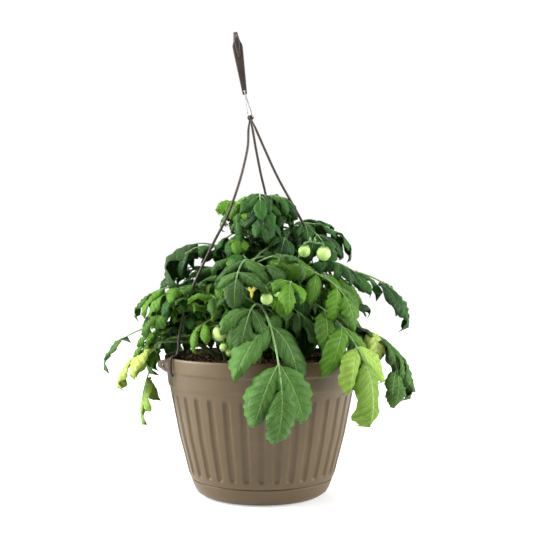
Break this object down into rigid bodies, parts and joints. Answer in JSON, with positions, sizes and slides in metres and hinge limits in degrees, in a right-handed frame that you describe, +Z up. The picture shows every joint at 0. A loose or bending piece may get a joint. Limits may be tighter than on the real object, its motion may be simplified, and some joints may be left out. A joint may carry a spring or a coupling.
{
  "type": "potted tomato plant with hanger",
  "caption": "Bushy tomato plant with small green fruits in a fluted plastic basket pot with a clip-on saucer and a stiff hanger ending in a hook.",
  "frame": {"origin": "centre of the saucer's flat foot, on the surface that it stands on", "axes": "+Z up, -Y towards the front, +X to the right as seen from the front"},
  "size_m": [0.4282, 0.39, 0.5994],
  "materials": {
    "pot": "satin moulded polypropylene, taupe brown",
    "saucer": "satin moulded polypropylene, taupe brown",
    "potting_mix": "moist peat and fine bark with perlite",
    "strand": "satin stiff plastic, dark brown",
    "wire": "dull galvanised wire",
    "hook": "satin moulded plastic, dark brown",
    "leaf_fresh": "soft matt leaf, mid green",
    "leaf_bright": "soft matt leaf, bright green",
    "leaf_deep": "soft matt leaf, dark green",
    "leaf_pale": "soft matt leaf, light green",
    "leaf_yellow": "soft matt leaf, yellowing",
    "fruit": "smooth waxy skin, unripe green, on green stalks",
    "flower": "matt yellow petals"
  },
  "bodies": {
    "root": {"pot": "pot", "saucer": "saucer", "potting_mix": "potting_mix", "strand_left": "strand", "strand_right": "strand", "strand_back": "strand", "wire_link": "wire", "hook": "hook", "stem_front_fall": "leaf_fresh", "stem_right_fall": "leaf_pale", "stem_left_pale": "leaf_yellow", "stem_left_pale_low": "leaf_yellow", "stem_left_long": "leaf_deep", "stem_left_hang": "leaf_bright", "stem_left_mid": "leaf_bright", "stem_left_arch": "leaf_deep", "stem_right_low": "leaf_deep", "stem_right_mid": "leaf_deep", "stem_right_top": "leaf_deep", "stem_crown": "leaf_deep", "stem_crown_left": "leaf_bright", "stem_front_left": "leaf_bright", "stem_centre_front": "leaf_fresh", "stem_centre_right": "leaf_bright", "stem_back_right": "leaf_deep", "stem_back_high": "leaf_deep", "stem_back_fall": "leaf_fresh", "stem_back_left": "leaf_deep", "stem_back_low": "leaf_bright", "truss_left": "fruit", "truss_centre": "fruit", "truss_right": "fruit", "truss_back_right": "fruit", "truss_back_left": "fruit", "flower_1": "flower", "flower_2": "flower"}
  },
  "joints": []
}
